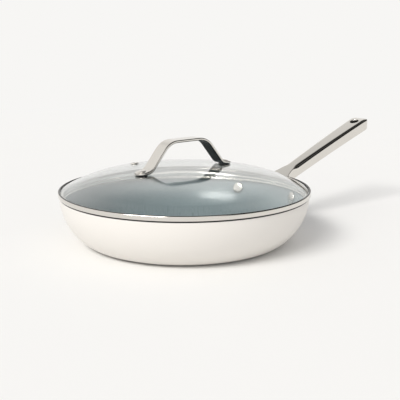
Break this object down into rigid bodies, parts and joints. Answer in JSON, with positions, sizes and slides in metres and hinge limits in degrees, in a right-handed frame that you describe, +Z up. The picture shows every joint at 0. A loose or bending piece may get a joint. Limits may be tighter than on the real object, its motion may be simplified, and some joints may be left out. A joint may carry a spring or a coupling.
{
  "type": "frying pan with lid",
  "caption": "Round frying pan with curved walls, a long riveted steel handle with a hang hole, and a domed glass lid with a bent strap handle and a steam vent.",
  "frame": {"origin": "centre of the flat underside of the base plate, where the pan stands on the hob", "axes": "+X along the long handle away from the pan, +Z up, +Y to the left of the handle seen from the pan"},
  "size_m": [0.4969, 0.305, 0.1257],
  "materials": {
    "coated_body": "satin",
    "plate_steel": "satin",
    "polished_steel": "polished",
    "rivet_steel": "polished",
    "lid_glass": "gloss",
    "seal": "matte"
  },
  "bodies": {
    "pan": {"pan_body": "coated_body", "base_plate": "plate_steel", "pan_handle": "polished_steel", "handle_rivet_left": "rivet_steel", "handle_rivet_right": "rivet_steel"},
    "lid": {"lid_glass": "lid_glass", "lid_rim_band": "polished_steel", "lid_handle": "polished_steel", "lid_rivet_near": "rivet_steel", "lid_rivet_far": "rivet_steel", "upper_washer_near": "seal", "upper_washer_far": "seal", "lower_washer_near": "seal", "lower_washer_far": "seal", "backing_washer_near": "rivet_steel", "backing_washer_far": "rivet_steel", "vent_eyelet": "rivet_steel", "vent_washer": "seal"}
  },
  "joints": [
    {"name": "lid_lift", "type": "slide", "parent": "pan", "child": "lid", "axis": [0, 0, 1], "range_m": [0, 0.12]}
  ]
}
